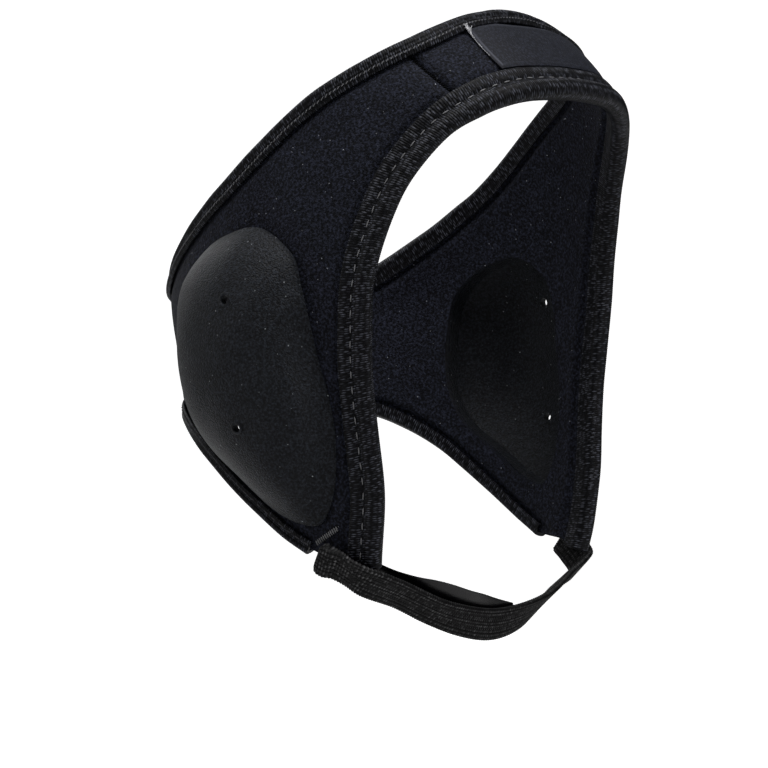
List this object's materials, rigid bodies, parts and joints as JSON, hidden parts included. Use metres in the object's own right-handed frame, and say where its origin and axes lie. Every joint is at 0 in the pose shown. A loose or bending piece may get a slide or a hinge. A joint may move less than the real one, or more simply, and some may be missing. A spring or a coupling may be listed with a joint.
{
  "type": "wrestling ear guard",
  "caption": "Soft padded headgear band with a domed cup over each ear, bound edges and a webbing strap under the chin.",
  "frame": {"origin": "middle of the line through both ears of the head that it sits on", "axes": "+X to the wearer's left, -Y to the face, +Z to the crown of the head"},
  "size_m": [0.2044, 0.179, 0.2413],
  "materials": {
    "neoprene": "matte",
    "cup_cover": "matte",
    "tape": "matte",
    "webbing": "matte",
    "tab": "satin",
    "label": "satin"
  },
  "bodies": {
    "root": {"forehead_panel": "neoprene", "side_panel_right": "neoprene", "side_panel_left": "neoprene", "ear_cup_right": "cup_cover", "ear_cup_left": "cup_cover", "face_binding": "tape", "crown_binding": "tape", "neck_binding": "tape", "chin_strap": "webbing", "chin_tab": "tab", "label_patch": "label"}
  },
  "joints": []
}
